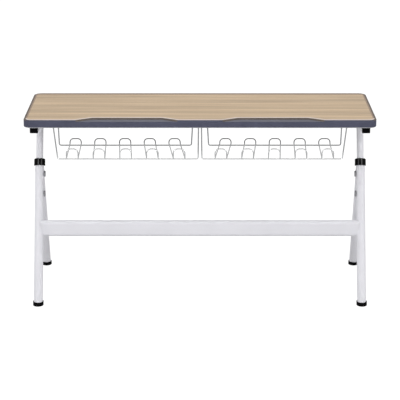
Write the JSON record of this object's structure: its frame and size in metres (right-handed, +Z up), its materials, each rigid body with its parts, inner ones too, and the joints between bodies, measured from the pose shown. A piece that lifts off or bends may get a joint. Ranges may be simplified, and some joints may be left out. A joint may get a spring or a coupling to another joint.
{
  "type": "double school desk",
  "caption": "Long narrow two-seat desk with a wood-look top in a moulded edge, on height-adjustable inclined tube legs, with wire book baskets under the top.",
  "frame": {"origin": "on the floor, under the middle of the desk", "axes": "+X along the desk's length to the right-hand seat, -Y towards the pupils, +Z up"},
  "size_m": [1.2, 0.4626, 0.6614],
  "materials": {
    "laminate": "satin wood-grain laminate",
    "core": "raw particle board",
    "backing": "matte backing laminate",
    "edge": "slate grey moulded plastic",
    "white_metal": "smooth white powder coat",
    "black_plastic": "moulded black plastic",
    "foot_plastic": "tough black plastic",
    "zinc_steel": "zinc plated",
    "wire": "bright plated wire"
  },
  "bodies": {
    "lower_frame": {"left_collar": "black_plastic", "left_front_foot": "foot_plastic", "left_front_leg": "white_metal", "left_lower_bolt": "zinc_steel", "left_rear_foot": "foot_plastic", "left_rear_leg": "white_metal", "left_upper_bolt": "zinc_steel", "right_collar": "black_plastic", "right_front_foot": "foot_plastic", "right_front_leg": "white_metal", "right_lower_bolt": "zinc_steel", "right_rear_foot": "foot_plastic", "right_rear_leg": "white_metal", "right_upper_bolt": "zinc_steel", "stretcher": "white_metal"},
    "upper_frame": {"backing_sheet": "backing", "core_board": "core", "edge_moulding": "edge", "laminate_top": "laminate", "left_arm": "white_metal", "left_basket_front_frame": "wire", "left_basket_hoop_1": "wire", "left_basket_hoop_2": "wire", "left_basket_hoop_3": "wire", "left_basket_hoop_4": "wire", "left_basket_hoop_5": "wire", "left_basket_rear_frame": "wire", "left_basket_rim": "wire", "left_front_arm_plug": "black_plastic", "left_front_arm_screw": "zinc_steel", "left_front_clip_1": "zinc_steel", "left_front_clip_2": "zinc_steel", "left_post": "white_metal", "left_post_guide": "black_plastic", "left_rear_arm_plug": "black_plastic", "left_rear_arm_screw": "zinc_steel", "left_rear_clip_1": "zinc_steel", "left_rear_clip_2": "zinc_steel", "right_arm": "white_metal", "right_basket_front_frame": "wire", "right_basket_hoop_1": "wire", "right_basket_hoop_2": "wire", "right_basket_hoop_3": "wire", "right_basket_hoop_4": "wire", "right_basket_hoop_5": "wire", "right_basket_rear_frame": "wire", "right_basket_rim": "wire", "right_front_arm_plug": "black_plastic", "right_front_arm_screw": "zinc_steel", "right_front_clip_1": "zinc_steel", "right_front_clip_2": "zinc_steel", "right_post": "white_metal", "right_post_guide": "black_plastic", "right_rear_arm_plug": "black_plastic", "right_rear_arm_screw": "zinc_steel", "right_rear_clip_1": "zinc_steel", "right_rear_clip_2": "zinc_steel"}
  },
  "joints": [
    {"name": "height_adjustment", "type": "slide", "parent": "lower_frame", "child": "upper_frame", "axis": [0, 0.3579, 0.9338], "range_m": [-0.11, 0.09]}
  ]
}
